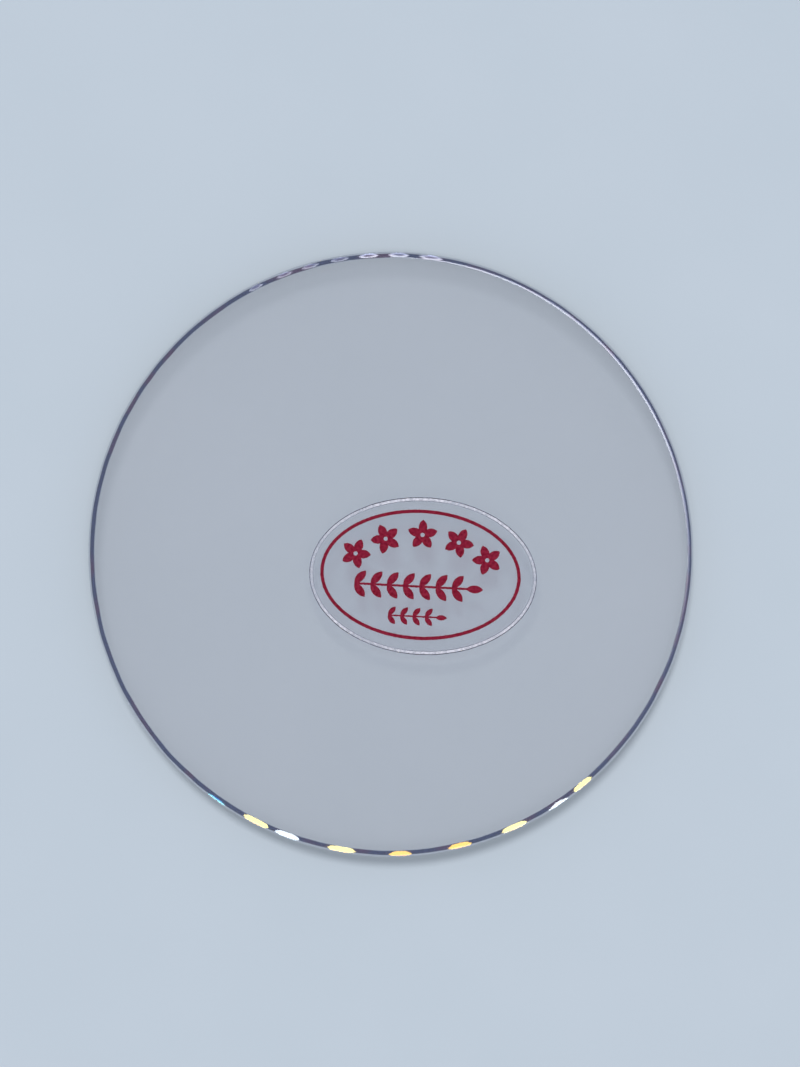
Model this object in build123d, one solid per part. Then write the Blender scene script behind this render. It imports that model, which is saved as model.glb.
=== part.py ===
"""A flat round watch crystal with a clear oval label on its outer face.

Units are millimetres and degrees. The disc lies on its inner face: +Z is its optical axis, pointing
out of the watch, and the origin is the centre of the inner face. +X is to the right and +Y towards
twelve o'clock for someone reading the label.
"""
from build123d import *

import math
import os
from dataclasses import dataclass

# Disc: ground to one diameter. The outer face has a lapped bevel, wider than it is deep, and the
# inner face a small one of 45 degrees.
DISC_DIAMETER = 32.0
DISC_THICKNESS = 1.5
OUTER_BEVEL_WIDTH = 0.38
OUTER_BEVEL_DEPTH = 0.27
INNER_BEVEL = 0.2
CORNER_RADIUS = 0.04

# Label: an oval of clear film on its adhesive, die-cut in one stroke and stuck on by hand, so it
# sits off the disc's centre and a little turned.
LABEL_WIDTH = 12.0
LABEL_HEIGHT = 8.3
LABEL_RIGHT_OF_CENTRE = 1.7
LABEL_BELOW_CENTRE = 1.2
LABEL_TURN = -3.0
ADHESIVE_THICKNESS = 0.025
FILM_THICKNESS = 0.1
FILM_EDGE_ROUND = 0.04

# Print: one raised coat of ink on top of the film, a little out of register with the die-cut edge.
INK_THICKNESS = 0.02
PRINT_SHIFT_LEFT = 0.14
PRINT_SHIFT_UP = 0.06
RING_INSET = 0.72
RING_LINE = 0.18

# Florets: one row along an oval arc inside the ring's upper side.
FLORET_COUNT = 5
FLORET_ARC_HALF_WIDTH = 4.4
FLORET_ARC_RISE = 3.0
FLORET_ARC_BELOW_CENTRE = 0.9
FLORET_STEP = 26.0
PETAL_COUNT = 5
PETAL_LENGTH = 0.8
PETAL_WIDTH = 0.46
EYE_RADIUS = 0.21
EYE_HOLE_RADIUS = 0.11

# Leaf sprigs below the florets: their leaves lean this far from the stem.
LEAF_LEAN = 50.0


@dataclass(frozen=True)
class Sprig:
    """A straight stem with leaning leaves in pairs and one leaf at its tip."""

    stem_length: float
    stem_width: float
    leaf_length: float
    leaf_width: float
    leaf_pairs: int
    below_centre: float


LONG_SPRIG = Sprig(
    stem_length=6.0,
    stem_width=0.12,
    leaf_length=0.9,
    leaf_width=0.42,
    leaf_pairs=7,
    below_centre=0.62,
)
SHORT_SPRIG = Sprig(
    stem_length=2.6,
    stem_width=0.09,
    leaf_length=0.6,
    leaf_width=0.28,
    leaf_pairs=4,
    below_centre=2.2,
)


def disc_profile():
    """Half of the disc's section, from the axis out to the wall, with every outer corner broken."""
    radius = DISC_DIAMETER / 2
    outline = Polyline(
        (0, 0),
        (radius - INNER_BEVEL, 0),
        (radius, INNER_BEVEL),
        (radius, DISC_THICKNESS - OUTER_BEVEL_DEPTH),
        (radius - OUTER_BEVEL_WIDTH, DISC_THICKNESS),
        (0, DISC_THICKNESS),
        close=True,
    )
    section = make_face(outline)
    rim_corners = section.vertices().filter_by(lambda corner: corner.X > 0)
    return fillet(rim_corners, CORNER_RADIUS)


def crystal_disc():
    """The disc itself: its section turned once about the optical axis."""
    return revolve(Plane.XZ * disc_profile(), Axis.Z)


def label_place(height):
    """The label's own plane at a height above the outer face, turned as the label is."""
    centre = (LABEL_RIGHT_OF_CENTRE, -LABEL_BELOW_CENTRE, DISC_THICKNESS + height)
    return Location(centre, (0, 0, LABEL_TURN))


def print_place():
    """The plane that the ink lies on, at the film's top, shifted by the print's register error."""
    shift = Location((-PRINT_SHIFT_LEFT, PRINT_SHIFT_UP, 0))
    return label_place(ADHESIVE_THICKNESS + FILM_THICKNESS) * shift


def oval(inset):
    """The label's outline, drawn in from its edge by an inset."""
    return Ellipse(LABEL_WIDTH / 2 - inset, LABEL_HEIGHT / 2 - inset)


def label_adhesive():
    """The adhesive layer, cut with the film and so of the same outline."""
    return label_place(0) * extrude(oval(0), ADHESIVE_THICKNESS)


def label_film():
    """The clear film, whose upper edge the die rounds over a little."""
    film = extrude(oval(0), FILM_THICKNESS)
    upper_edge = film.edges().group_by(Axis.Z)[-1]
    return label_place(ADHESIVE_THICKNESS) * fillet(upper_edge, FILM_EDGE_ROUND)


def inked(outline):
    """An outline on the print's plane, raised by the ink's thickness."""
    return print_place() * extrude(outline, INK_THICKNESS)


def ink_ring():
    """The oval line around the print, parallel to the label's edge."""
    return inked(oval(RING_INSET) - oval(RING_INSET + RING_LINE))


def leaf(length, width):
    """A pointed leaf from the origin along +X: two equal arcs."""
    upper = ThreePointArc((0, 0), (length / 2, width / 2), (length, 0))
    lower = ThreePointArc((length, 0), (length / 2, -width / 2), (0, 0))
    return make_face(upper + lower)


def floret_outline():
    """A small flower: petals around an eye with a hole in it."""
    petal = leaf(PETAL_LENGTH, PETAL_WIDTH)
    flower = Circle(EYE_RADIUS)
    for number in range(PETAL_COUNT):
        flower += Rot(0, 0, 90 + number * 360 / PETAL_COUNT) * petal
    return flower - Circle(EYE_HOLE_RADIUS)


def ink_florets():
    """The row of florets, evenly stepped along an oval arc and each turned to face outwards."""
    row = []
    for number in range(FLORET_COUNT):
        step = (number - (FLORET_COUNT - 1) / 2) * FLORET_STEP
        along = math.radians(90 - step)
        across = FLORET_ARC_HALF_WIDTH * math.cos(along)
        up = FLORET_ARC_RISE * math.sin(along) - FLORET_ARC_BELOW_CENTRE
        row.append(inked(Pos(across, up) * Rot(0, 0, -step) * floret_outline()))
    return Compound(children=row)


def ink_sprig(sprig):
    """One leaf sprig: stem, paired leaves from end to end, and the leaf at its tip."""
    half = sprig.stem_length / 2
    outline = Rectangle(sprig.stem_length, sprig.stem_width)
    one_leaf = leaf(sprig.leaf_length, sprig.leaf_width)
    pitch = sprig.stem_length / sprig.leaf_pairs
    for pair in range(sprig.leaf_pairs):
        for lean in (LEAF_LEAN, -LEAF_LEAN):
            outline += Pos(pair * pitch - half, 0) * Rot(0, 0, lean) * one_leaf
    outline += Pos(half - sprig.stem_width, 0) * one_leaf
    centring = Pos(-sprig.leaf_length / 2, -sprig.below_centre)
    return inked(centring * outline)


NODES = {
    "crystal_disc": crystal_disc(),
    "label_adhesive": label_adhesive(),
    "label_film": label_film(),
    "ink_ring": ink_ring(),
    "ink_florets": ink_florets(),
    "ink_long_sprig": ink_sprig(LONG_SPRIG),
    "ink_short_sprig": ink_sprig(SHORT_SPRIG),
}

os.makedirs("parts", exist_ok=True)
for node_name, solid in NODES.items():
    export_step(solid, f"parts/{node_name}.step")
    print(node_name, "solids", len(solid.solids()), "volume", solid.volume)
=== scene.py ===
"""Visual model of a flat round watch crystal with a clear oval label on its outer face.

The crystal lies on its inner face on a pale studio floor, and the camera looks down its optical
axis, as the photograph does. Lengths in the dataclasses are in millimetres. Every mesh is written
in metres.
"""

from __future__ import annotations

import logging
import math
from collections.abc import Sequence
from dataclasses import dataclass, field, replace
from enum import Enum, IntEnum

import bmesh
import bpy
from mathutils import Matrix, Vector, noise


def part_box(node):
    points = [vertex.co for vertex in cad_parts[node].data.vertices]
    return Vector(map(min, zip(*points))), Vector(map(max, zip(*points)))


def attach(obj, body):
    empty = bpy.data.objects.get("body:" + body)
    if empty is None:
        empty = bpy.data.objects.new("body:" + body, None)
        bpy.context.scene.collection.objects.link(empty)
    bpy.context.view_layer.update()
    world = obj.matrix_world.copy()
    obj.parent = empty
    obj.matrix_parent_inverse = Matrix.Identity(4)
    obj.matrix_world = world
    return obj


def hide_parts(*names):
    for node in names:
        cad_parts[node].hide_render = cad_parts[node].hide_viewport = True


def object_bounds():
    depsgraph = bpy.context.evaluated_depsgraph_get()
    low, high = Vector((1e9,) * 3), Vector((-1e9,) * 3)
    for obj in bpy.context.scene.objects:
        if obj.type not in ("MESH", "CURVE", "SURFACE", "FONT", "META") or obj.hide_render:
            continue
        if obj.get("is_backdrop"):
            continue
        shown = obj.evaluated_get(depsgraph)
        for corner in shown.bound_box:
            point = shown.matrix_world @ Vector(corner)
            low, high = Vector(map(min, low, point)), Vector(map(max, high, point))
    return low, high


logging.basicConfig(level=logging.INFO, format="%(name)s: %(message)s")
LOG = logging.getLogger("crystal")

Tree = bpy.types.NodeTree
Node = bpy.types.Node
Socket = bpy.types.NodeSocket
Point = tuple[float, float, float]

MM = 0.001
ROOT_BODY = "root"

# The photograph's frame, and the disc's outline in it, in pixels.
PHOTO_WIDTH_PX = 800
PHOTO_HEIGHT_PX = 1067
DISC_CENTRE_PX = (390.8, 553.3)
DISC_RADIUS_PX = 303.5
SENSOR_LONG_SIDE = 36.0

# Light that enters by the rim is mirrored up and down between the two faces before it comes out.
LIGHT_PATH_TURNS = 48
# How many see-through surfaces, such as film, ink and lamp-lit crystal, light can cross in a row.
CLEAR_CROSSINGS = 32

# A pattern's values lie around this one.
PATTERN_MIDDLE = 0.5


def linear(hex_colour: str) -> tuple[float, float, float, float]:
    """Turns an sRGB colour into the linear one that a shader takes.

    Args:
        hex_colour: Six hex digits, red first.

    Returns:
        Linear red, green, blue and an alpha of 1.
    """
    shown = [int(hex_colour[i : i + 2], 16) / 255 for i in (0, 2, 4)]
    light = [c / 12.92 if c <= 0.04045 else ((c + 0.055) / 1.055) ** 2.4 for c in shown]
    return light[0], light[1], light[2], 1.0


def add_node(
    tree: Tree,
    kind: str,
    links: dict[str | int, object] | Sequence[object] = (),
    **settings: object,
) -> Node:
    """Adds one node with its settings and its inputs.

    Args:
        tree: The node tree that gets the node.
        kind: The node's type without its "ShaderNode", such as "Math".
        links: What goes into each input, by name or number, or in turn. It is a plain value, a
            socket, or a node that gives its first output.
        settings: Values for the node's own attributes.

    Returns:
        The new node.
    """
    node = tree.nodes.new(f"ShaderNode{kind}")
    for name, value in settings.items():
        setattr(node, name, value)
    inputs = links if isinstance(links, dict) else dict(enumerate(links))
    for name, value in inputs.items():
        source = value.outputs[0] if isinstance(value, Node) else value
        if isinstance(source, Socket):
            tree.links.new(source, node.inputs[name])
        else:
            node.inputs[name].default_value = source
    return node


def round_the_rim(tree: Tree, stretch: float) -> Node:
    """Gives coordinates that run round the optical axis, so that a pattern follows the rim.

    Args:
        tree: The node tree that gets the nodes.
        stretch: How many times longer a grain is round the rim than across it.

    Returns:
        The node with the coordinates: way round, radius and height, all as lengths.
    """
    place = add_node(tree, "TexCoord").outputs["Object"]
    x, y, z = add_node(tree, "SeparateXYZ", (place,)).outputs[:3]
    squares = [add_node(tree, "Math", (side, 2.0), operation="POWER") for side in (x, y)]
    both = add_node(tree, "Math", squares, operation="ADD")
    radius = add_node(tree, "Math", (both,), operation="SQRT")
    angle = add_node(tree, "Math", (y, x), operation="ARCTAN2")
    arc = add_node(tree, "Math", (angle, radius), operation="MULTIPLY")
    way = add_node(tree, "Math", (arc, stretch), operation="DIVIDE")
    return add_node(tree, "CombineXYZ", (way, radius, z))


def lamp_rays(tree: Tree) -> Node:
    """Tells the rays that carry lamp light through a clear surface from those that show it.

    Args:
        tree: The node tree that gets the nodes.

    Returns:
        The node that gives 1 for the rays that carry lamp light, and 0 for the rest.
    """
    path = add_node(tree, "LightPath").outputs
    carriers = (path["Is Shadow Ray"], path["Is Diffuse Ray"])
    return add_node(tree, "Math", carriers, operation="MAXIMUM")


@dataclass(frozen=True)
class Grain:
    """A pattern of patches or lines of a real size, such as mottle, flecks or a lap's lines.

    Attributes:
        size: The size of one patch, or the width of one line.
        detail: How many finer layers it has.
        span: The pattern's values that count as its low and its high end.
        stretch: How many times longer than wide a line is round the rim. 0 is patches.
    """

    size: float
    detail: float = 2.0
    span: tuple[float, float] = (0.35, 0.65)
    stretch: float = 0.0

    def draw(self, tree: Tree) -> Node:
        """Adds the pattern to a material.

        Args:
            tree: The node tree that gets the nodes.

        Returns:
            The node that gives the pattern's value.
        """
        if self.stretch:
            place = round_the_rim(tree, self.stretch).outputs[0]
        else:
            place = add_node(tree, "TexCoord").outputs["Object"]
        links = {"Vector": place, "Scale": 1 / (self.size * MM), "Detail": self.detail}
        return add_node(tree, "TexNoise", links)


@dataclass(frozen=True)
class Finish:
    """What every finish shares: a name and an empty node tree to fill."""

    name: str

    def shade(self, tree: Tree) -> Node:
        """Builds the finish's nodes and gives the one that is its shader."""
        raise NotImplementedError

    def material(self) -> bpy.types.Material:
        """Makes the Blender material for this finish.

        Returns:
            The material, its tree filled.
        """
        made = bpy.data.materials.new(self.name)
        made.use_nodes = True
        tree = made.node_tree
        tree.nodes.clear()
        add_node(tree, "OutputMaterial", {"Surface": self.shade(tree)})
        return made


@dataclass(frozen=True)
class PaintedShadeRing:
    """A ring of painted shade on a bevel.

    It looks dark slate, which stands for the dark surroundings that a bevel shows by refraction.
    Its dull red stretches are painted light that the crystal splits.

    Attributes:
        inner: The ring's inner radius.
        outer: Its outer radius.
        slate: Its tone, which is painted shade.
        red: The tone of its red stretches, which is painted split light.
        stretches: The stretches of one tone. The span is where slate gives way to red.
        wander: How far its edges wander in and out along the stretches.
        soft: Half of the width over which its edges fade.
    """

    inner: float
    outer: float
    slate: str
    red: str
    stretches: Grain = Grain(1.6, 1.0, (0.5, 0.66))
    wander: float = 0.09
    soft: float = 0.02

    def tone(self, tree: Tree, body: str) -> Socket:
        """The ring's painted shade within it, and the body's tone on either side.

        Args:
            tree: The node tree that gets the nodes.
            body: The tone of the crystal beside the ring.

        Returns:
            The colour's socket.
        """
        stretches = self.stretches.draw(tree)
        drift = add_node(tree, "Math", (stretches, PATTERN_MIDDLE), operation="SUBTRACT")
        radius = add_node(tree, "SeparateXYZ", (round_the_rim(tree, 1.0),)).outputs[1]
        wandered = (drift, self.wander * MM, radius)
        radius = add_node(tree, "Math", wandered, operation="MULTIPLY_ADD")
        fades = []
        for edge, ends in ((self.inner, (0.0, 1.0)), (self.outer, (1.0, 0.0))):
            start, end = (edge - self.soft) * MM, (edge + self.soft) * MM
            fades.append(add_node(tree, "MapRange", (radius, start, end, *ends)))
        within = add_node(tree, "Math", fades, operation="MULTIPLY")
        reddened = add_node(tree, "MapRange", (stretches, *self.stretches.span, 0.0, 1.0))
        tones = {0: reddened, 6: linear(self.slate), 7: linear(self.red)}
        dark = add_node(tree, "Mix", tones, data_type="RGBA").outputs[2]
        tones = {0: within, 6: linear(body), 7: dark}
        return add_node(tree, "Mix", tones, data_type="RGBA").outputs[2]


@dataclass(frozen=True)
class Sapphire(Finish):
    """Synthetic sapphire, cut from a clear boule and polished or ground.

    It is colourless and mirrors about twice as much as window glass. A polished face is all but
    invisible, and a ground one is a soft grey.

    Attributes:
        body: The tone that it gives to what is seen through it.
        roughness: How matt the surface is at its smoothest and at its dullest.
        marks: The patches or lines that vary it.
        lamp_share: The share of lamp light that a surface passes straight on, to a spot outside
            the disc and to one below it. The rim mirrors nearly all of it back in and down.
        depth: How deep the marks are.
        painted_shade_ring: The ring of painted shade on a bevel, where there is one.
        clear_share: How much of the light goes on through. A ground surface scatters the rest.
        ior: The crystal's refractive index.
    """

    body: str
    roughness: tuple[float, float]
    marks: Grain
    lamp_share: tuple[float, float]
    depth: float = 0.0
    painted_shade_ring: PaintedShadeRing | None = None
    clear_share: float = 1.0
    ior: float = 1.77

    def shade(self, tree: Tree) -> Node:
        """Clear crystal for what is seen, and a pale filter for lamp light.

        Args:
            tree: The node tree that gets the nodes.

        Returns:
            The shader's node.
        """
        marks = self.marks.draw(tree)
        links = {
            "Base Color": self.painted_shade_ring.tone(tree, self.body) if self.painted_shade_ring else linear(self.body),
            "Transmission Weight": self.clear_share,
            "IOR": self.ior,
            "Roughness": add_node(tree, "MapRange", (marks, *self.marks.span, *self.roughness)),
        }
        if self.depth:
            links["Normal"] = add_node(tree, "Bump", {"Height": marks, "Distance": self.depth * MM})
        seen = add_node(tree, "BsdfPrincipled", links)
        outside, below = self.lamp_share
        from_below = add_node(tree, "NewGeometry").outputs["Backfacing"]
        change = (from_below, below - outside, outside)
        share = add_node(tree, "Math", change, operation="MULTIPLY_ADD")
        passed = add_node(tree, "BsdfTransparent", {"Color": share})
        return add_node(tree, "MixShader", (lamp_rays(tree), seen, passed))


@dataclass(frozen=True)
class ClearFilm(Finish):
    """Clear polyester film, cast and calendered.

    Its gloss is a little softer and wavier than the crystal's, which shows that it is there.

    Attributes:
        ior: The film's refractive index.
        roughness: How soft its gloss is.
        waves: The waves in its surface.
        wave_depth: How deep they are.
        tint: The tone of what is seen through it.
    """

    ior: float = 1.6
    roughness: float = 0.07
    waves: Grain = Grain(1.6)
    wave_depth: float = 0.004
    tint: str = "FEFEFF"

    def shade(self, tree: Tree) -> Node:
        """See-through, with a weak wavy gloss over it.

        Args:
            tree: The node tree that gets the nodes.

        Returns:
            The shader's node.
        """
        waves = {"Height": self.waves.draw(tree), "Distance": self.wave_depth * MM}
        normal = add_node(tree, "Bump", waves)
        edge_on = add_node(tree, "Fresnel", {"IOR": self.ior, "Normal": normal})
        inside = add_node(tree, "NewGeometry").outputs["Backfacing"]
        hidden = add_node(tree, "Math", (inside, lamp_rays(tree)), operation="MAXIMUM")
        shown = add_node(tree, "Math", (1.0, hidden), operation="SUBTRACT")
        share = add_node(tree, "Math", (edge_on, shown), operation="MULTIPLY")
        passed = add_node(tree, "BsdfTransparent", {"Color": linear(self.tint)})
        mirror = {"Color": linear("FFFFFF"), "Roughness": self.roughness, "Normal": normal}
        gloss = add_node(tree, "BsdfAnisotropic", mirror)
        return add_node(tree, "MixShader", (share, passed, gloss))


@dataclass(frozen=True)
class BondedFace(Finish):
    """A face wetted by acrylic adhesive, so that light crosses it with nothing to see.

    Attributes:
        mottle: The faint mottle that pressing by hand leaves.
        clarity: How much light it passes in its dullest and in its clearest patches.
    """

    mottle: Grain = Grain(0.8, span=(0.35, 0.7))
    clarity: tuple[float, float] = (0.992, 1.0)

    def shade(self, tree: Tree) -> Node:
        """All but wholly clear, with its mottle. Gives the shader's node."""
        mottle = (self.mottle.draw(tree), *self.mottle.span, *self.clarity)
        return add_node(tree, "BsdfTransparent", {"Color": add_node(tree, "MapRange", mottle)})


@dataclass(frozen=True)
class CutEdge(Finish):
    """The film's edge where a steel die cut it.

    The cut stretches the film and turns it milky, in flecks, and more along some stretches. Its
    cover thins towards the oval's two ends as painted shade, since those ends catch less light than
    the long sides.

    Attributes:
        milk: The tone of the milky plastic.
        cover: How much it hides, between its flecks and in them.
        roughness: How matt it is.
        ior: Its refractive index.
        passed_light: The tone of what is seen through it.
        flecks: Its flecks.
        fleck_depth: How deep they are.
        stretches: The milkier stretches.
        stretch_share: How much of its cover the clearest stretch keeps.
        lamp_cover: How much of its cover counts for the shadow that it casts, which is faint.
        middle: Where the oval's middle lies along its long axis.
        half_length: Half of the oval's long axis.
        end_span: The shares of that half between which the painted shade at the ends sets in.
        end_share: How much of its cover the very ends keep under that painted shade.
    """

    milk: str
    cover: tuple[float, float]
    roughness: float = 0.32
    ior: float = 1.5
    passed_light: str = "F4F4F8"
    flecks: Grain = Grain(0.16, 3.0)
    fleck_depth: float = 0.01
    stretches: Grain = Grain(2.4, 1.0, (0.35, 0.6))
    stretch_share: float = 0.55
    lamp_cover: float = 0.35
    middle: float = 0.0
    half_length: float = 6.0
    end_span: tuple[float, float] = (0.78, 0.97)
    end_share: float = 0.5

    def painted_end_shade(self, tree: Tree) -> Node:
        """Gives 1 along the oval's long sides, and less towards its two ends, as painted shade.

        Args:
            tree: The node tree that gets the nodes.

        Returns:
            The node that gives the share of the cover that is kept.
        """
        place = add_node(tree, "TexCoord").outputs["Object"]
        x = add_node(tree, "SeparateXYZ", (place,)).outputs[0]
        offset = add_node(tree, "Math", (x, self.middle * MM), operation="SUBTRACT")
        along = add_node(tree, "Math", (offset,), operation="ABSOLUTE")
        start, end = (share * self.half_length * MM for share in self.end_span)
        return add_node(tree, "MapRange", (along, start, end, 1.0, self.end_share))

    def shade(self, tree: Tree) -> Node:
        """Milky plastic whose cover comes and goes along the line.

        Args:
            tree: The node tree that gets the nodes.

        Returns:
            The shader's node.
        """
        flecks = self.flecks.draw(tree)
        dents = {"Height": flecks, "Distance": self.fleck_depth * MM}
        links = {
            "Base Color": linear(self.milk),
            "Roughness": self.roughness,
            "IOR": self.ior,
            "Normal": add_node(tree, "Bump", dents),
        }
        milky = add_node(tree, "BsdfPrincipled", links)
        passed = add_node(tree, "BsdfTransparent", {"Color": linear(self.passed_light)})
        stretches = (self.stretches.draw(tree), *self.stretches.span, self.stretch_share, 1.0)
        share = add_node(tree, "MapRange", (flecks, *self.flecks.span, *self.cover))
        for kept in (
            add_node(tree, "MapRange", (lamp_rays(tree), 0.0, 1.0, 1.0, self.lamp_cover)),
            add_node(tree, "MapRange", stretches),
            self.painted_end_shade(tree),
        ):
            share = add_node(tree, "Math", (share, kept), operation="MULTIPLY")
        return add_node(tree, "MixShader", (share, passed, milky))


@dataclass(frozen=True)
class ScreenInk(Finish):
    """Crimson ink, screen printed in one pass.

    A single pass lets a little light through, more in some spots than in others, and dries with a
    low sheen.

    Attributes:
        ink: The ink's tone where it is full.
        worn_ink: Its tone where it is thin.
        passed_light: The tone of what is seen through it.
        roughness: How matt it is.
        ior: Its refractive index.
        mottle: Its spots. The screen's threads lie 0.08 mm apart, and the spots are drawn twice
            as coarse so that they show.
        mottle_depth: How deep they are.
        cover: How much it hides, in its thinnest and in its fullest spots.
        lamp_cover: How much of its cover counts for the shadow that it casts, which is faint.
    """

    ink: str = "8E0F2F"
    worn_ink: str = "730E2C"
    passed_light: str = "CE2A54"
    roughness: float = 0.38
    ior: float = 1.5
    mottle: Grain = Grain(0.15, 3.0, (0.35, 0.6))
    mottle_depth: float = 0.004
    cover: tuple[float, float] = (0.52, 0.97)
    lamp_cover: float = 0.1

    def shade(self, tree: Tree) -> Node:
        """Crimson ink of uneven cover over a crimson filter.

        Args:
            tree: The node tree that gets the nodes.

        Returns:
            The shader's node.
        """
        mottle = self.mottle.draw(tree)
        tones = {0: mottle, 6: linear(self.worn_ink), 7: linear(self.ink)}
        links = {
            "Base Color": add_node(tree, "Mix", tones, data_type="RGBA").outputs[2],
            "Roughness": self.roughness,
            "IOR": self.ior,
            "Normal": add_node(
                tree, "Bump", {"Height": mottle, "Distance": self.mottle_depth * MM}
            ),
        }
        body = add_node(tree, "BsdfPrincipled", links)
        eased = add_node(tree, "MapRange", (lamp_rays(tree), 0.0, 1.0, 0.0, 1 - self.lamp_cover))
        filters = {0: eased, 6: linear(self.passed_light), 7: linear("FFFFFF")}
        filtered = add_node(tree, "Mix", filters, data_type="RGBA").outputs[2]
        passed = add_node(tree, "BsdfTransparent", {"Color": filtered})
        cover = add_node(tree, "MapRange", (mottle, *self.mottle.span, *self.cover))
        kept = add_node(tree, "Math", (1.0, eased), operation="SUBTRACT")
        share = add_node(tree, "Math", (cover, kept), operation="MULTIPLY")
        return add_node(tree, "MixShader", (share, passed, body))


@dataclass(frozen=True)
class PaintedBoard(Finish):
    """Painted board for the studio floor: pale blue-grey, matt, with a trace of roller texture.

    Attributes:
        light: The paint's tone in its lightest patches.
        dark: Its tone in its darkest.
        patches: The patches of one tone.
        texture: The roller's texture.
        texture_depth: How deep that is.
    """

    light: str = "C5CFD9"
    dark: str = "C0CBD5"
    patches: Grain = Grain(9.0)
    texture: Grain = Grain(0.5)
    texture_depth: float = 0.004

    def shade(self, tree: Tree) -> Node:
        """Matt paint whose tone drifts a little.

        Args:
            tree: The node tree that gets the nodes.

        Returns:
            The shader's node.
        """
        tones = {0: self.patches.draw(tree), 6: linear(self.dark), 7: linear(self.light)}
        roller = {"Height": self.texture.draw(tree), "Distance": self.texture_depth * MM}
        links = {
            "Base Color": add_node(tree, "Mix", tones, data_type="RGBA").outputs[2],
            "Roughness": 1.0,
            "Specular IOR Level": 0.0,
            "Normal": add_node(tree, "Bump", roller),
        }
        return add_node(tree, "BsdfPrincipled", links)


@dataclass(frozen=True)
class LampFace(Finish):
    """The glowing face of a lamp that only mirrors show.

    The crystal spreads the lamp's light a little, which leaves a warmer or bluer lower edge.

    Attributes:
        colour: The tone of the lamp's face.
        edge: The tone along its lower edge.
        strength: How bright it is.
        edge_height: The heights between which the edge's tone gives way.
        fade: The ways round, in degrees, between which the light grows from its dimmest to all
            of it. None where it is even.
        dimmest: The share of its light at the dim end.
        fade_power: How much faster the light grows towards its bright end.
    """

    colour: str
    edge: str
    strength: float
    edge_height: tuple[float, float] = (29.5, 36.0)
    fade: tuple[float, float] | None = None
    dimmest: float = 0.125
    fade_power: float = 3.0

    def light(self, tree: Tree, place: Socket) -> float | Node:
        """The strength, dimmed towards one end where the lamp fades.

        Args:
            tree: The node tree that gets the nodes.
            place: The coordinates of the lamp's face.

        Returns:
            A plain number, or the node that gives one that changes along the lamp.
        """
        if self.fade is None:
            return self.strength
        x, y = add_node(tree, "SeparateXYZ", (place,)).outputs[:2]
        way = add_node(tree, "Math", (y, x), operation="ARCTAN2")
        dim, full = (math.radians(angle) for angle in self.fade)
        least = self.dimmest ** (1 / self.fade_power)
        growth = add_node(tree, "MapRange", (way, dim, full, least, 1.0))
        ramp = add_node(tree, "Math", (growth, self.fade_power), operation="POWER")
        return add_node(tree, "Math", (ramp, self.strength), operation="MULTIPLY")

    def shade(self, tree: Tree) -> Node:
        """Light of one tone, with another along the lower edge.

        Args:
            tree: The node tree that gets the nodes.

        Returns:
            The shader's node.
        """
        place = add_node(tree, "TexCoord").outputs["Object"]
        height = add_node(tree, "SeparateXYZ", (place,)).outputs[2]
        low, high = (edge * MM for edge in self.edge_height)
        share = add_node(tree, "MapRange", (height, low, high, 0.0, 1.0))
        tones = {0: share, 6: linear(self.edge), 7: linear(self.colour)}
        tone = add_node(tree, "Mix", tones, data_type="RGBA").outputs[2]
        return add_node(tree, "Emission", {"Color": tone, "Strength": self.light(tree, place)})


def link_mesh(
    name: str,
    points: list[Point],
    faces: list[tuple[int, ...]],
    slots: list[int],
    finishes: list[bpy.types.Material],
) -> bpy.types.Object:
    """Makes a smooth-shaded object from points in millimetres.

    Args:
        name: The object's name.
        points: The corners in millimetres.
        faces: The faces as corner numbers.
        slots: Each face's material slot.
        finishes: The materials, one for each slot.

    Returns:
        The object, linked to the scene.
    """
    mesh = bpy.data.meshes.new(name)
    mesh.from_pydata([(x * MM, y * MM, z * MM) for x, y, z in points], [], faces)
    for finish in finishes:
        mesh.materials.append(finish)
    mesh.polygons.foreach_set("material_index", slots)
    mesh.shade_smooth()
    mesh.validate()
    made = bpy.data.objects.new(name, mesh)
    bpy.context.scene.collection.objects.link(made)
    return made


def ringed_skin(
    name: str,
    rings: list[list[Point]],
    ends: tuple[Point, Point],
    slots: list[int],
    finishes: list[bpy.types.Material],
) -> bpy.types.Object:
    """Joins rings of corners into a closed skin with a middle point at each end.

    Args:
        name: The object's name.
        rings: The rings, each of as many corners.
        ends: The middle points before the first ring and after the last one.
        slots: The slot of the band or fan that follows each ring. The fan before the first ring
            has the first slot.
        finishes: The materials, one for each slot.

    Returns:
        The skin.
    """
    steps = len(rings[0])
    points = [*(point for ring in rings for point in ring), *ends]
    first, last = len(points) - 2, len(points) - 1
    pairs = [(step, (step + 1) % steps) for step in range(steps)]
    faces: list[tuple[int, ...]] = [(first, after, step) for step, after in pairs]
    for ring in range(len(rings) - 1):
        low, high = ring * steps, (ring + 1) * steps
        faces += [(low + step, low + after, high + after, high + step) for step, after in pairs]
    top = (len(rings) - 1) * steps
    faces += [(last, top + step, top + after) for step, after in pairs]
    face_slots = [int(slot) for slot in (slots[0], *slots) for _ in range(steps)]
    return link_mesh(name, points, faces, face_slots, finishes)


class DiscSlot(IntEnum):
    """The material slots of the disc."""

    FACE = 0
    BEVEL = 1
    WALL = 2


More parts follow.
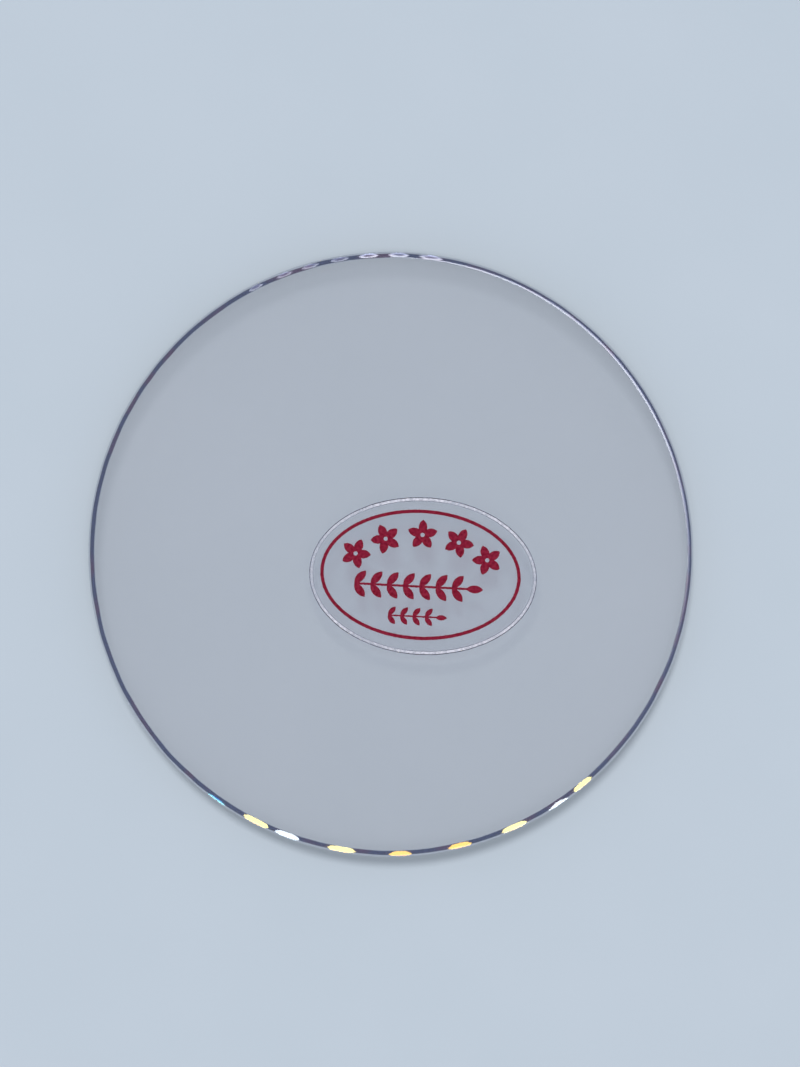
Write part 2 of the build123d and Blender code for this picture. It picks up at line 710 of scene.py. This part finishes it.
@dataclass
class CrystalDisc:
    """The disc: two flat faces, a slightly crowned bevel round each, and the ground wall.

    Attributes:
        radius: The disc's radius, from the frame.
        thickness: The disc's thickness, from the frame.
        outer_bevel: How wide and how deep the outer face's bevel is.
        inner_bevel: The same for the inner face.
        corner_radius: The radius that breaks each corner.
        corner_steps: How many facets that round has.
        bevel_steps: How many facets a bevel has across.
        bevel_crown: How far a bevel bows out at its middle.
        guard: The width of the narrow bands that keep the shading flat beside a round.
        steps: How many facets the disc has round its rim.
        face_rings: The radii of the corners on the flat faces.
        face: The finish of the two faces.
        bevel: The finish of the bevels and the rounds.
        wall: The finish of the wall.
    """

    radius: float
    thickness: float
    outer_bevel: tuple[float, float] = (0.38, 0.27)
    inner_bevel: tuple[float, float] = (0.2, 0.2)
    corner_radius: float = 0.04
    corner_steps: int = 5
    bevel_steps: int = 8
    bevel_crown: float = 0.002
    guard: float = 0.03
    steps: int = 360
    face_rings: tuple[float, ...] = (5.0, 10.0, 14.5)
    face: Sapphire = Sapphire(
        "sapphire_polished",
        body="FFFCFD",
        roughness=(0.0, 0.012),
        marks=Grain(5.0, 3.0, (0.4, 0.7)),
        lamp_share=(0.94, 0.94),
    )
    # A lap's lines are about 0.005 mm wide, too fine to show, and are drawn ten times coarser.
    bevel: Sapphire = Sapphire(
        "sapphire_bevel_with_painted_shade_ring",
        body="D8DAE6",
        roughness=(0.01, 0.05),
        marks=Grain(0.05, 3.0, (0.4, 0.7), stretch=40.0),
        lamp_share=(0.12, 0.72),
        depth=0.0002,
        # The ring's dark slate and dull red are painted shade and painted split light.
        painted_shade_ring=PaintedShadeRing(inner=15.64, outer=15.9, slate="1B2044", red="331B39"),
    )
    # The wheel's grit marks are about 0.02 mm wide, and are drawn four times coarser to show.
    wall: Sapphire = Sapphire(
        "sapphire_ground_wall",
        body="DCDDE8",
        roughness=(0.28, 0.5),
        marks=Grain(0.08, 3.0, (0.4, 0.7), stretch=6.0),
        lamp_share=(0.1, 0.7),
        depth=0.004,
        clear_share=0.65,
    )

    def corners(self) -> list[Vector]:
        """The section's sharp corners, from the inner face's edge up to the outer face's edge.

        Returns:
            Each corner's radius and height.
        """
        out_in, up_in = self.inner_bevel
        out_out, up_out = self.outer_bevel
        return [
            Vector((self.radius - out_in, 0.0)),
            Vector((self.radius, up_in)),
            Vector((self.radius, self.thickness - up_out)),
            Vector((self.radius - out_out, self.thickness)),
        ]

    def arc(self, before: Vector, corner: Vector, after: Vector) -> list[Vector]:
        """Rounds one corner of the section.

        Args:
            before: The point that the section comes from.
            corner: The sharp corner.
            after: The point that the section goes on to.

        Returns:
            Points along the round, ends included.
        """
        come, leave = (before - corner).normalized(), (after - corner).normalized()
        half = come.angle(leave) / 2
        middle = corner + (come + leave).normalized() * (self.corner_radius / math.sin(half))
        start = corner + come * (self.corner_radius / math.tan(half)) - middle
        end = corner + leave * (self.corner_radius / math.tan(half)) - middle
        turn = start.angle_signed(end)
        points = []
        for number in range(self.corner_steps + 1):
            angle = -turn * number / self.corner_steps
            points.append(middle + Matrix.Rotation(angle, 2) @ start)
        return points

    def crowned(self, start: Vector, end: Vector) -> list[Vector]:
        """Points along a bevel between its two rounds, bowed outwards as a soft lap leaves it.

        Args:
            start: Where the lower round ends.
            end: Where the upper round starts.

        Returns:
            The points between them, without the two ends.
        """
        along = end - start
        out = Vector((along.y, -along.x)).normalized()
        points = []
        for number in range(1, self.bevel_steps):
            share = number / self.bevel_steps
            bow = self.bevel_crown * (1 - (2 * share - 1) ** 2)
            points.append(start + along * share + out * bow)
        return points

    def section(self) -> tuple[list[Vector], list[DiscSlot]]:
        """The section from the inner face out and up to the outer face.

        Returns:
            The points as radius and height, and the slot of the band that follows each point.
        """
        sharp = self.corners()
        route = [Vector((0.0, 0.0)), *sharp, Vector((0.0, self.thickness))]
        rounds = [self.arc(*route[number : number + 3]) for number in range(len(sharp))]
        wall_low, wall_high = rounds[1][-1], rounds[2][0]
        inner_edge, outer_edge = rounds[0][0].x, rounds[-1][-1].x
        lift = Vector((0.0, self.guard))
        inner_face = [Vector((r, 0.0)) for r in (*self.face_rings, inner_edge - self.guard)]
        back_in = (outer_edge - self.guard, *reversed(self.face_rings))
        outer_face = [Vector((r, self.thickness)) for r in back_in]
        runs = (
            (inner_face, DiscSlot.FACE),
            (rounds[0], DiscSlot.BEVEL),
            (self.crowned(rounds[0][-1], rounds[1][0]), DiscSlot.BEVEL),
            (rounds[1][:-1], DiscSlot.BEVEL),
            ([wall_low, wall_low + lift, wall_high - lift], DiscSlot.WALL),
            (rounds[2], DiscSlot.BEVEL),
            (self.crowned(rounds[2][-1], rounds[3][0]), DiscSlot.BEVEL),
            (rounds[3][:-1], DiscSlot.BEVEL),
            ([rounds[3][-1], *outer_face], DiscSlot.FACE),
        )
        points = [point for run, _ in runs for point in run]
        return points, [slot for run, slot in runs for _ in run]

    def build(self) -> bpy.types.Object:
        """Turns the section about the optical axis into one closed mesh.

        Returns:
            The disc.
        """
        section, slots = self.section()
        turns = [2 * math.pi * step / self.steps for step in range(self.steps)]
        rings = [[(at.x * math.cos(t), at.x * math.sin(t), at.y) for t in turns] for at in section]
        finishes = [self.face.material(), self.bevel.material(), self.wall.material()]
        ends = ((0.0, 0.0, 0.0), (0.0, 0.0, self.thickness))
        disc = ringed_skin("crystal_disc_polished", rings, ends, slots, finishes)
        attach(disc, ROOT_BODY)
        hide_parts("crystal_disc")
        return disc


class FilmSlot(IntEnum):
    """The material slots of the film and the adhesive."""

    BOND = 0
    LIP = 1
    CUT = 2
    TOP = 3


@dataclass
class Oval:
    """The label's die-cut outline, where it lies on the disc.

    Attributes:
        centre: Its middle on the disc.
        width: Its long axis.
        height: Its short axis.
        turn: How far it is turned, in degrees.
        steps: How many facets it has.
        ragged: How far the cut wanders.
        ragged_size: How long one wander is.
        ragged_bias: How much of the wander goes inwards, so that it stays within the outline.
        ragged_reach: How far in from the cut the wander dies down.
    """

    centre: tuple[float, float]
    width: float = 12.0
    height: float = 8.3
    turn: float = -3.0
    steps: int = 480
    ragged: float = 0.012
    ragged_size: float = 0.35
    ragged_bias: float = 0.6
    ragged_reach: float = 0.2

    def ring(self, inset: float, height: float) -> list[Point]:
        """One ring of corners, drawn in from the cut by an inset.

        Args:
            inset: How far in from the cut. The cut itself wanders a little, and rings well inside
                it don't.
            height: The ring's height above the inner face.

        Returns:
            The ring's corners.
        """
        turn = Matrix.Rotation(math.radians(self.turn), 2)
        long_half, short_half = self.width / 2 - inset, self.height / 2 - inset
        points = []
        for step in range(self.steps):
            angle = 2 * math.pi * step / self.steps
            way = Vector((math.cos(angle), math.sin(angle)))
            at = Vector((long_half * way.x, short_half * way.y))
            drift = self.ragged * (noise.noise(at.to_3d() / self.ragged_size) - self.ragged_bias)
            wander = drift * math.exp(-inset / self.ragged_reach)
            at = turn @ (at + way * wander) + Vector(self.centre)
            points.append((at.x, at.y, height))
        return points

    def slab(
        self,
        name: str,
        rings: list[tuple[float, float, FilmSlot]],
        finishes: list[bpy.types.Material],
    ) -> bpy.types.Object:
        """A closed sheet of this outline.

        Args:
            name: The object's name.
            rings: Inset, height and the slot of the band that follows, from the underside's
                middle out round the edge and back in over the top.
            finishes: The materials in the order of FilmSlot.

        Returns:
            The sheet.
        """
        corners = [self.ring(inset, height) for inset, height, _ in rings]
        ends = ((*self.centre, rings[0][1]), (*self.centre, rings[-1][1]))
        return ringed_skin(name, corners, ends, [slot for _, _, slot in rings], finishes)


@dataclass
class Label:
    """The label: adhesive, film with its die-cut lip, and the raised print.

    Attributes:
        outline: The die-cut oval.
        bond_low: The height of the adhesive's underside.
        film_low: The height of the film's underside.
        film_top: The height of the film's flat top.
        ink_top: The height of the print's top.
        clearance: How far the adhesive stays clear of the disc and the film.
        flat_inset: How far in from the cut the sheets' wide flat middle starts.
        guard: The width of the narrow bands that keep the shading flat beside an edge.
        squeeze: How far the adhesive is squeezed out past the cut.
        wetted_inset: How far in from the cut the adhesive wets all of the film.
        nick: How far the cut bites into the film's lower edge.
        shoulder: How far in from the cut, and below the top, the film's upper edge rounds over.
        lip_width: How wide the pressed lip is.
        lip_section: Points across the lip: the share of its width, the height above the film's
            flat top, and the slot of the band that follows.
        print_nodes: The solids that the print's areas stand on.
        film: The finish of the film's top.
        lip: The finish of its lip.
        cut: The finish of its cut edge and of the adhesive's. Its dark grey is painted shade for
            the dark line that refraction draws beside a clear edge.
        bond: The finish of the faces that the adhesive wets.
        ink: The print's finish.
        sheet: The materials that the sheets share, in the order of FilmSlot.
    """

    outline: Oval
    bond_low: float
    film_low: float
    film_top: float
    ink_top: float
    clearance: float = 0.002
    flat_inset: float = 1.0
    guard: float = 0.04
    squeeze: float = 0.008
    wetted_inset: float = 0.05
    nick: float = 0.012
    shoulder: tuple[float, float] = (0.008, 0.02)
    lip_width: float = 0.21
    lip_section: tuple[tuple[float, float, FilmSlot], ...] = (
        (0.2, 0.002, FilmSlot.LIP),
        (0.36, 0.011, FilmSlot.LIP),
        (0.52, 0.014, FilmSlot.LIP),
        (0.68, 0.011, FilmSlot.LIP),
        (0.84, 0.003, FilmSlot.CUT),
        (1.0, 0.0, FilmSlot.TOP),
    )
    print_nodes: tuple[str, ...] = ("ink_ring", "ink_florets", "ink_long_sprig", "ink_short_sprig")
    film: ClearFilm = ClearFilm("polyester_film_clear")
    lip: CutEdge = CutEdge("polyester_film_die_pressed_lip", "E6E4EE", (0.35, 0.9))
    # The cut edge's dark grey is painted shade: the dark line that refraction draws beside a clear
    # edge.
    cut: CutEdge = CutEdge("die_cut_edge_painted_shade", "4E4B5C", (0.35, 0.7))
    bond: BondedFace = BondedFace("acrylic_adhesive_bond")
    ink: ScreenInk = ScreenInk("crimson_screen_ink")
    sheet: list[bpy.types.Material] = field(default_factory=list)

    def dress(self) -> None:
        """Makes the four materials that the sheets share."""
        place = {"middle": self.outline.centre[0], "half_length": self.outline.width / 2}
        lip, cut = replace(self.lip, **place), replace(self.cut, **place)
        self.sheet = [finish.material() for finish in (self.bond, lip, cut, self.film)]

    def adhesive(self) -> bpy.types.Object:
        """The adhesive: a clear layer whose squeezed-out edge stands a hair outside the film.

        Returns:
            The layer.
        """
        low, high = self.bond_low + self.clearance, self.film_low - self.clearance
        rings = [
            (self.flat_inset, low, FilmSlot.BOND),
            (self.guard, low, FilmSlot.CUT),
            (0.0, low, FilmSlot.CUT),
            (-self.squeeze, (low + high) / 2, FilmSlot.CUT),
            (0.0, high, FilmSlot.CUT),
            (self.guard, high, FilmSlot.BOND),
            (self.flat_inset, high, FilmSlot.BOND),
        ]
        made = self.outline.slab("label_adhesive_layer", rings, self.sheet)
        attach(made, ROOT_BODY)
        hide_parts("label_adhesive")
        return made

    def film_sheet(self) -> bpy.types.Object:
        """The film: flat inside, with a low lip round it where the die pressed and cut.

        Returns:
            The film.
        """
        low, top = self.film_low, self.film_top
        shoulder_inset, shoulder_drop = self.shoulder
        rings = [
            (self.flat_inset, low, FilmSlot.BOND),
            (self.wetted_inset, low, FilmSlot.BOND),
            (self.nick, low, FilmSlot.CUT),
            (0.0, low + self.nick, FilmSlot.CUT),
            (0.0, (low + top) / 2, FilmSlot.CUT),
            (shoulder_inset, top - shoulder_drop, FilmSlot.CUT),
        ]
        for share, rise, slot in self.lip_section:
            rings.append((self.lip_width * share, top + rise, slot))
        rings.append((self.lip_width + self.guard, top, FilmSlot.TOP))
        rings.append((self.flat_inset, top, FilmSlot.TOP))
        made = self.outline.slab("label_film_sheet", rings, self.sheet)
        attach(made, ROOT_BODY)
        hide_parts("label_film")
        return made

    def build(self) -> list[bpy.types.Object]:
        """Builds the label from the disc up.

        Returns:
            Its pieces.
        """
        self.dress()
        pieces = [self.adhesive(), self.film_sheet()]
        print_ink = self.ink.material()
        for node in self.print_nodes:
            pieces.append(PrintedMark(node, self.film_top, self.ink_top).build(print_ink))
        return pieces


@dataclass
class PrintedMark:
    """One area of ink, with the slightly uneven edge that a screen's mesh leaves.

    Attributes:
        node: The solid that gives the area's outline.
        low: The height of the ink's underside.
        high: The height of its top.
        edge_step: How far apart the corners along its edge are.
        edge_wander: How far the edge wanders.
        edge_grain: How long one wander is.
        edge_offset: How many wanders away the pattern for the second direction is read.
        weld: How close two of the solid's corners are to count as one.
        facing_up: How much of a face's normal points up where the face is part of the top.
    """

    node: str
    low: float
    high: float
    edge_step: float = 0.03
    edge_wander: float = 0.012
    edge_grain: float = 0.09
    edge_offset: Point = (31.7, 11.3, 5.9)
    weld: float = 0.0001
    facing_up: float = 0.9

    def flat_area(self) -> bmesh.types.BMesh:
        """The solid's top face on its own, with closely spaced corners along its edge.

        Returns:
            The face as an editable mesh.
        """
        area = bmesh.new()
        area.from_mesh(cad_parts[self.node].data)
        bmesh.ops.remove_doubles(area, verts=area.verts[:], dist=self.weld * MM)
        area.normal_update()
        rest = [face for face in area.faces if face.normal.z < self.facing_up]
        bmesh.ops.delete(area, geom=rest, context="FACES")
        for edge in [edge for edge in area.edges if edge.is_boundary]:
            pieces = math.ceil(edge.calc_length() / (self.edge_step * MM))
            start = edge.verts[0]
            for left in range(pieces, 1, -1):
                _, start = bmesh.utils.edge_split(edge, start, 1 / left)
        return area

    def build(self, finish: bpy.types.Material) -> bpy.types.Object:
        """Makes the ink as a closed thin solid.

        Args:
            finish: The ink's material.

        Returns:
            The ink.
        """
        area = self.flat_area()
        for vert in area.verts:
            if vert.is_boundary:
                place = vert.co / (self.edge_grain * MM)
                across, up = noise.noise(place), noise.noise(place + Vector(self.edge_offset))
                vert.co += Vector((across, up, 0.0)) * self.edge_wander * MM
        bmesh.ops.triangulate(area, faces=area.faces[:])
        area.verts.index_update()
        upper = [(vert.co.x / MM, vert.co.y / MM, self.high) for vert in area.verts]
        lower = [(x, y, self.low) for x, y, _ in upper]
        under = len(upper)
        faces = [tuple(vert.index for vert in face.verts) for face in area.faces]
        faces += [tuple(under + corner for corner in reversed(face)) for face in faces]
        for loop in [edge.link_loops[0] for edge in area.edges if edge.is_boundary]:
            start, end = loop.vert.index, loop.link_loop_next.vert.index
            faces.append((end, start, under + start, under + end))
        area.free()
        slots = [0] * len(faces)
        made = link_mesh(f"{self.node}_coat", [*upper, *lower], faces, slots, [finish])
        made.data.shade_flat()
        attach(made, ROOT_BODY)
        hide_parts(self.node)
        return made


def around(angle: float, elevation: float, distance: float) -> Vector:
    """A point around the disc.

    Args:
        angle: The way round from the photograph's right, in degrees.
        elevation: Degrees above the floor.
        distance: How far from the disc's centre.

    Returns:
        The point in millimetres.
    """
    turn, rise = math.radians(angle), math.radians(elevation)
    flat = math.cos(rise)
    way = Vector((flat * math.cos(turn), flat * math.sin(turn), math.sin(rise)))
    return way * distance


class Glow(Enum):
    """The lamps that the bevel mirrors, and the soft light that the faces mirror."""

    YELLOW = LampFace("lamp_face_yellow", "FFEF9C", "FFC25A", 16.0)
    AMBER = LampFace("lamp_face_amber", "FFCB62", "FF8C22", 15.0)
    WHITE = LampFace("lamp_face_white", "EEFAFF", "D3F2FF", 13.0)
    CYAN = LampFace("lamp_face_cyan", "2B50C4", "8CEFFF", 11.0, (34.5, 39.5))
    FAINT = LampFace("lamp_face_faint", "E8EEFF", "A9B0D8", 5.0, (37.0, 43.0))
    NEAR = LampFace("lamp_face_near", "EEF2FF", "B9C0E6", 9.0, (37.0, 43.0))
    CORE = LampFace("lamp_face_core", "CBCBEC", "CBCBEC", 2.3)
    WINDOW = LampFace("lamp_face_window", "EEF3FF", "9A9EC4", 8.5, (44.0, 49.0), (-25.0, 25.0))
    SHEEN = LampFace("lamp_face_sheen", "F4F8FF", "B4BCC8", 1.5, (128.0, 200.0))


@dataclass(frozen=True)
class LampCard:
    """A glowing strip round the disc, which only clear and shiny surfaces show.

    Attributes:
        angle: The way round to its middle, in degrees.
        width: How wide it is, in degrees.
        low: The height of its lower edge above the floor, in degrees.
        high: The height of its upper edge.
        glow: Its light.
        taper: How soon it narrows towards its ends. 2 is a lens shape, and a higher number keeps
            it wide for longer.
        distance: How far from the disc's centre it stands.
        steps: How many facets it has.
        shows_through: Whether it is seen through the crystal as well as mirrored by it.
    """

    angle: float
    width: float
    low: float
    high: float
    glow: Glow
    taper: float = 2.0
    distance: float = 300.0
    steps: int = 24
    shows_through: bool = True

    def build(self, name: str) -> bpy.types.Object:
        """Makes the strip as a curved sheet that faces the disc.

        Args:
            name: The strip's name.

        Returns:
            The strip.
        """
        middle, half = (self.low + self.high) / 2, (self.high - self.low) / 2
        points = []
        for edge in (-1, 1):
            for step in range(self.steps + 1):
                along = 2 * step / self.steps - 1
                angle = self.angle + along * self.width / 2
                elevation = middle + edge * half * (1 - abs(along) ** self.taper)
                points.append(tuple(around(angle, elevation, self.distance)))
        row = self.steps + 1
        faces = [(step, step + 1, row + step + 1, row + step) for step in range(self.steps)]
        card = link_mesh(name, points, faces, [0] * len(faces), [self.glow.value.material()])
        card.visible_camera = False
        card.visible_diffuse = False
        card.visible_shadow = False
        card.visible_transmission = self.shows_through
        card.data.materials[0].cycles.emission_sampling = "NONE"
        card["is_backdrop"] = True
        return card


@dataclass(frozen=True)
class SoftLamp:
    """A large soft lamp a long way off, so that it lights the whole floor evenly.

    It is kept out of mirror images, where it would be a plain white disc on the crystal.

    Attributes:
        angle: The way round that it stands, in degrees.
        elevation: Degrees above the floor.
        width: How wide it looks from the disc, in degrees.
        strength: Its light in watts for each square metre.
        colour: Its tone.
        distance: Where its marker stands. Its light comes from far behind that.
    """

    angle: float
    elevation: float
    width: float
    strength: float
    colour: str = "FFFDFB"
    distance: float = 450.0

    def build(self, name: str) -> bpy.types.Object:
        """Makes the lamp, aimed at the disc.

        Args:
            name: The lamp's name.

        Returns:
            The lamp.
        """
        data = bpy.data.lights.new(name, "SUN")
        data.angle = math.radians(self.width)
        data.energy = self.strength
        data.color = linear(self.colour)[:3]
        lamp = bpy.data.objects.new(name, data)
        place = around(self.angle, self.elevation, self.distance)
        lamp.location = place * MM
        lamp.rotation_mode = "QUATERNION"
        lamp.rotation_quaternion = place.to_track_quat("Z", "Y")
        lamp.visible_glossy = False
        lamp.visible_transmission = False
        bpy.context.scene.collection.objects.link(lamp)
        return lamp


@dataclass
class Studio:
    """The pale floor, the light round it, its soft lamps and the strips that give glints.

    Attributes:
        floor_radius: How far the floor reaches.
        floor_steps: How many facets its edge has.
        floor_gap: How far the floor lies below the disc, so that the two faces never coincide.
        board: The floor's finish.
        horizon: The tone of the light low down, which is the lit floor's own.
        zenith: The tone of the light overhead.
        sky_strength: How bright that light is.
        sky_rise: The heights between which one tone gives way to the other, as sines.
        soft_lamps: The soft lamps. The first is the main one, and its shadow falls towards the
            photograph's bottom.
        low_lamps: The strips at the photograph's bottom.
        far_lamps: The row of small lamps at the photograph's top.
        core_share: The width of the darker middle of each of those, as a share of the lamp's.
        core_heights: That middle's lower and upper edge, in degrees.
        core_lead: How far in front of its lamp it stands.
        window: The long strip on the right.
        sheens: Tall soft windows above the strips. They show as a sheen on the polished face
            from the sides, and not from above.
    """

    floor_radius: float = 2500.0
    floor_steps: int = 96
    floor_gap: float = 0.02
    board: PaintedBoard = PaintedBoard("floor_painted_board")
    horizon: str = "CEDBE8"
    zenith: str = "5A6270"
    sky_strength: float = 0.85
    sky_rise: tuple[float, float] = (0.1, 0.85)
    soft_lamps: tuple[SoftLamp, ...] = (
        SoftLamp(98.0, 60.0, 18.0, 1.55),
        SoftLamp(215.0, 78.0, 34.0, 0.55),
        SoftLamp(330.0, 78.0, 34.0, 0.55),
    )
    low_lamps: tuple[LampCard, ...] = (
        LampCard(234.4, 4.0, 4.9, 7.8, Glow.CYAN),
        LampCard(243.0, 5.4, 4.0, 11.6, Glow.YELLOW),
        LampCard(249.5, 5.0, 4.2, 10.8, Glow.WHITE),
        LampCard(260.2, 5.4, 4.0, 11.6, Glow.YELLOW),
        LampCard(271.5, 4.4, 4.8, 10.0, Glow.AMBER),
        LampCard(283.0, 4.6, 4.6, 10.6, Glow.AMBER),
        LampCard(294.0, 5.2, 4.0, 11.6, Glow.YELLOW),
        LampCard(303.5, 4.4, 4.9, 8.6, Glow.WHITE),
        LampCard(309.5, 4.4, 4.0, 11.6, Glow.YELLOW),
    )
    far_lamps: tuple[LampCard, ...] = (
        LampCard(117.2, 3.2, 6.6, 9.6, Glow.FAINT),
        LampCard(111.2, 3.4, 6.6, 9.6, Glow.FAINT),
        LampCard(106.0, 3.6, 6.5, 9.7, Glow.FAINT),
        LampCard(100.2, 3.8, 6.4, 9.7, Glow.FAINT),
        LampCard(94.6, 4.0, 6.3, 9.8, Glow.NEAR),
        LampCard(88.8, 4.2, 6.3, 9.8, Glow.NEAR),
        LampCard(82.6, 4.6, 6.3, 9.8, Glow.NEAR),
    )
    core_share: float = 0.62
    core_heights: tuple[float, float] = (7.3, 8.7)
    core_lead: float = 1.0
    window: LampCard = LampCard(19.0, 148.0, 8.6, 11.6, Glow.WINDOW, taper=6.0)
    sheens: tuple[LampCard, ...] = (
        LampCard(67.5, 29.0, 25.0, 58.0, Glow.SHEEN, taper=8.0, shows_through=False),
        LampCard(202.5, 29.0, 25.0, 58.0, Glow.SHEEN, taper=8.0, shows_through=False),
        LampCard(292.5, 29.0, 25.0, 58.0, Glow.SHEEN, taper=8.0, shows_through=False),
    )

    def floor(self) -> bpy.types.Object:
        """The floor: a wide round board.

        Returns:
            The floor.
        """
        steps = self.floor_steps
        points = [(0.0, 0.0, -self.floor_gap)]
        for step in range(steps):
            angle = 2 * math.pi * step / steps
            x, y = self.floor_radius * math.cos(angle), self.floor_radius * math.sin(angle)
            points.append((x, y, -self.floor_gap))
        faces = [(0, step + 1, (step + 1) % steps + 1) for step in range(steps)]
        made = link_mesh("studio_floor", points, faces, [0] * steps, [self.board.material()])
        made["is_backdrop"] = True
        return made

    def sky(self) -> None:
        """The light round the floor: the floor's own tone low down, and dim overhead."""
        world = bpy.data.worlds.new("studio")
        bpy.context.scene.world = world
        world.use_nodes = True
        tree = world.node_tree
        tree.nodes.clear()
        way = add_node(tree, "TexCoord").outputs["Generated"]
        rise = add_node(tree, "SeparateXYZ", (way,)).outputs[2]
        height = add_node(tree, "MapRange", (rise, *self.sky_rise, 0.0, 1.0))
        tones = {0: height, 6: linear(self.horizon), 7: linear(self.zenith)}
        tone = add_node(tree, "Mix", tones, data_type="RGBA").outputs[2]
        sky = add_node(tree, "Background", {"Color": tone, "Strength": self.sky_strength})
        add_node(tree, "OutputWorld", {"Surface": sky})

    def core(self, lamp: LampCard) -> LampCard:
        """The darker middle of one of the far lamps.

        Args:
            lamp: The lamp.

        Returns:
            The strip that stands just in front of it.
        """
        low, high = self.core_heights
        width, distance = lamp.width * self.core_share, lamp.distance - self.core_lead
        return replace(lamp, width=width, low=low, high=high, glow=Glow.CORE, distance=distance)

    def glints(self) -> None:
        """Places the strips whose mirror images run along the disc's bevel or over its face."""
        rows = {
            "low_lamp": self.low_lamps,
            "far_lamp": self.far_lamps,
            "far_core": [self.core(lamp) for lamp in self.far_lamps],
            "sheen": self.sheens,
        }
        for name, row in rows.items():
            for number, strip in enumerate(row):
                strip.build(f"{name}_{number}")
        self.window.build("window")

    def build(self) -> None:
        """Builds the studio."""
        self.floor()
        self.sky()
        for number, lamp in enumerate(self.soft_lamps):
            lamp.build(f"soft_lamp_{number}")
        self.glints()


@dataclass
class PhotoCamera:
    """The camera, placed so that the disc fills the photograph's frame as the photograph shows it.

    Attributes:
        disc_radius: The disc's radius.
        disc_top: The height of the disc's outer face.
        distance: From the camera to the outer face.
        lean_right: How far the camera stands to the right of the optical axis, in degrees.
        lean_up: How far it stands towards the photograph's top, in degrees.
        nearest: The nearest distance that it shows.
        furthest: The furthest distance that it shows.
    """

    disc_radius: float
    disc_top: float
    distance: float = 80.0
    lean_right: float = 0.0
    lean_up: float = -0.8
    nearest: float = 5.0
    furthest: float = 10000.0

    def build(self) -> bpy.types.Object:
        """Makes the camera the scene's own.

        Returns:
            The camera.
        """
        data = bpy.data.cameras.new("photo_camera")
        data.sensor_width = SENSOR_LONG_SIDE
        shown = DISC_RADIUS_PX / PHOTO_HEIGHT_PX * SENSOR_LONG_SIDE
        data.lens = shown * self.distance / self.disc_radius
        data.clip_start, data.clip_end = self.nearest * MM, self.furthest * MM
        camera = bpy.data.objects.new("photo_camera", data)
        bpy.context.scene.collection.objects.link(camera)
        right = math.tan(math.radians(self.lean_right))
        up = math.tan(math.radians(self.lean_up))
        back = Vector((right, up, 1.0)).normalized()
        across = Vector((0.0, 1.0, 0.0)).cross(back).normalized()
        turn = Matrix((across, back.cross(across), back)).transposed().to_quaternion()
        per_pixel = self.disc_radius / DISC_RADIUS_PX
        aside = (PHOTO_WIDTH_PX / 2 - DISC_CENTRE_PX[0]) * per_pixel
        above = (DISC_CENTRE_PX[1] - PHOTO_HEIGHT_PX / 2) * per_pixel
        target = Vector((0.0, 0.0, self.disc_top)) + turn @ Vector((aside, above, 0.0))
        camera.location = (target + back * self.distance) * MM
        camera.rotation_mode = "QUATERNION"
        camera.rotation_quaternion = turn
        bpy.context.scene.camera = camera
        return camera


def box_mm(node: str) -> tuple[Vector, Vector]:
    """The lowest and highest corner of a solid, in millimetres."""
    low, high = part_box(node)
    return low / MM, high / MM


def main() -> list[list[float]]:
    """Builds the scene in order and reports each piece of the object.

    Returns:
        The box of the solids, as its lowest and highest corner in metres.
    """
    solid_box = [list(corner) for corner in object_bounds()]
    scene = bpy.context.scene
    scene.view_settings.view_transform = "Standard"
    scene.cycles.caustics_reflective = False
    scene.cycles.caustics_refractive = False
    scene.cycles.transparent_max_bounces = CLEAR_CROSSINGS
    scene.cycles.max_bounces = LIGHT_PATH_TURNS
    scene.cycles.transmission_bounces = LIGHT_PATH_TURNS
    scene.cycles.glossy_bounces = LIGHT_PATH_TURNS
    disc_low, disc_high = box_mm("crystal_disc")
    bond_low, _ = box_mm("label_adhesive")
    film_low, film_high = box_mm("label_film")
    _, ink_high = box_mm("ink_ring")
    camera = PhotoCamera(disc_high.x, disc_high.z).build()
    LOG.info("%s: lens %.1f mm", camera.name, camera.data.lens)
    Studio().build()
    disc = CrystalDisc(disc_high.x, disc_high.z - disc_low.z).build()
    middle = (film_low + film_high) / 2
    outline = Oval((middle.x, middle.y))
    label = Label(outline, bond_low.z, film_low.z, film_high.z, ink_high.z).build()
    for piece in [disc, *label]:
        LOG.info("%s: %d faces", piece.name, len(piece.data.polygons))
    return solid_box


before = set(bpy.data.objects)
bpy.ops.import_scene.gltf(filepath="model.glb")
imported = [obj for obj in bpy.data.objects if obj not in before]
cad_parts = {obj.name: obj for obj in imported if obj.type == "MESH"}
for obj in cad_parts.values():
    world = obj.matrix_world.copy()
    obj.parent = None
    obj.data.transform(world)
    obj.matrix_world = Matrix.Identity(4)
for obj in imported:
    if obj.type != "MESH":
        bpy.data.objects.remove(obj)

if __name__ == "__main__":
    boxes = {"cad": main()}
    boxes["visual"] = [list(corner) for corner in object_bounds()]
